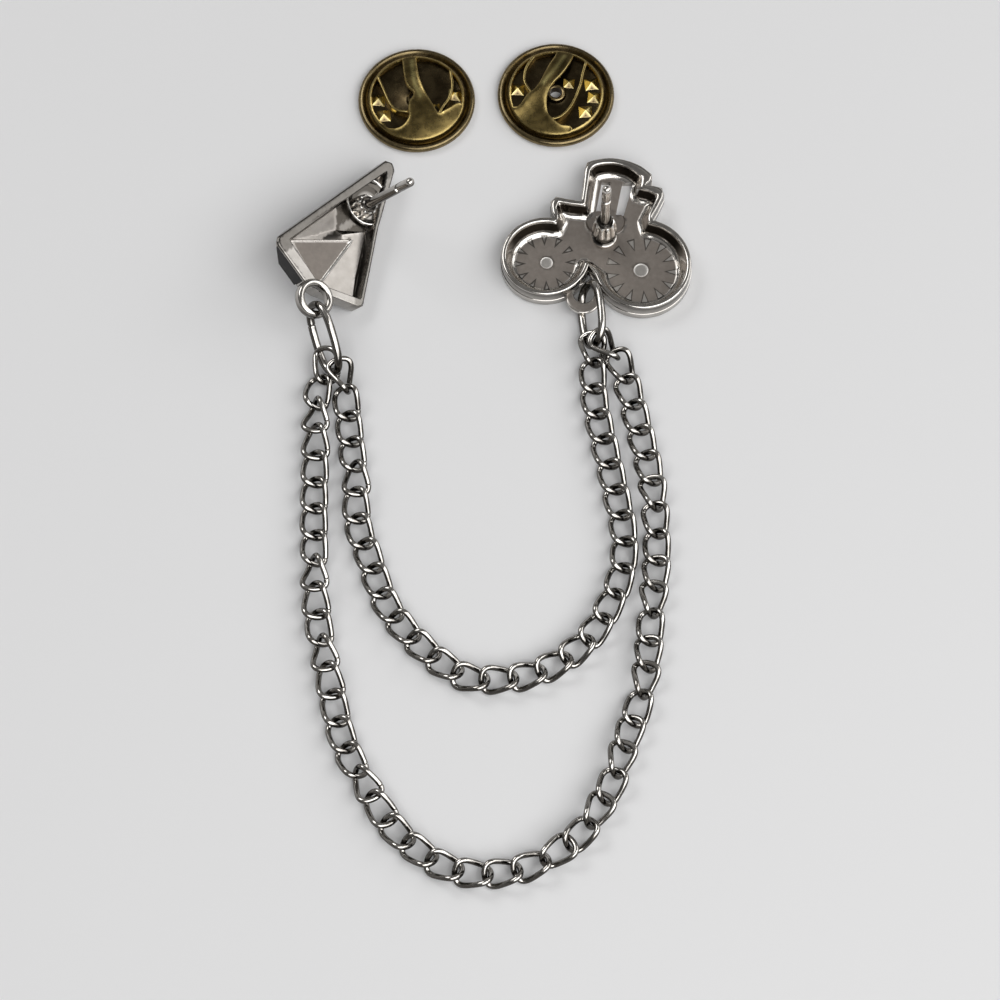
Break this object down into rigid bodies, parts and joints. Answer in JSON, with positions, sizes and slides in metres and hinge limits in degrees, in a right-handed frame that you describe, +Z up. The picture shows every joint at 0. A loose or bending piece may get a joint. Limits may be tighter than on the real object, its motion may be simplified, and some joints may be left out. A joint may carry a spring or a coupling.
{
  "type": "sweater clip",
  "caption": "Sweater clip: two cast pin badges lying face down, joined by a double curb chain, with the two butterfly clutches laid beside them.",
  "frame": {"origin": "middle of the lay-out in plan, on the surface that it lies on", "axes": "+Z up from the surface, +Y from the chain's lowest bight towards the clutches, +X to the right as the badges lie seen from above"},
  "size_m": [0.0396, 0.0874, 0.0111],
  "materials": {
    "nickel_plate": "nickel plate, bright on the rims and matte in the recesses",
    "nickel_wire": "bright nickel-plated wire",
    "black_enamel": "smooth black enamel",
    "aged_brass": "dark antique brass, worn bright on the high spots"
  },
  "bodies": {
    "root": {"right_badge": "nickel_plate", "right_enamel": "black_enamel", "left_badge": "nickel_plate", "left_enamel": "black_enamel", "jump_ring_right": "nickel_wire", "jump_ring_left": "nickel_wire", "chain_outer": "nickel_wire", "chain_inner": "nickel_wire", "clutch_left_cup": "aged_brass", "clutch_left_spring": "aged_brass", "clutch_right_cup": "aged_brass", "clutch_right_spring": "aged_brass"}
  },
  "joints": []
}
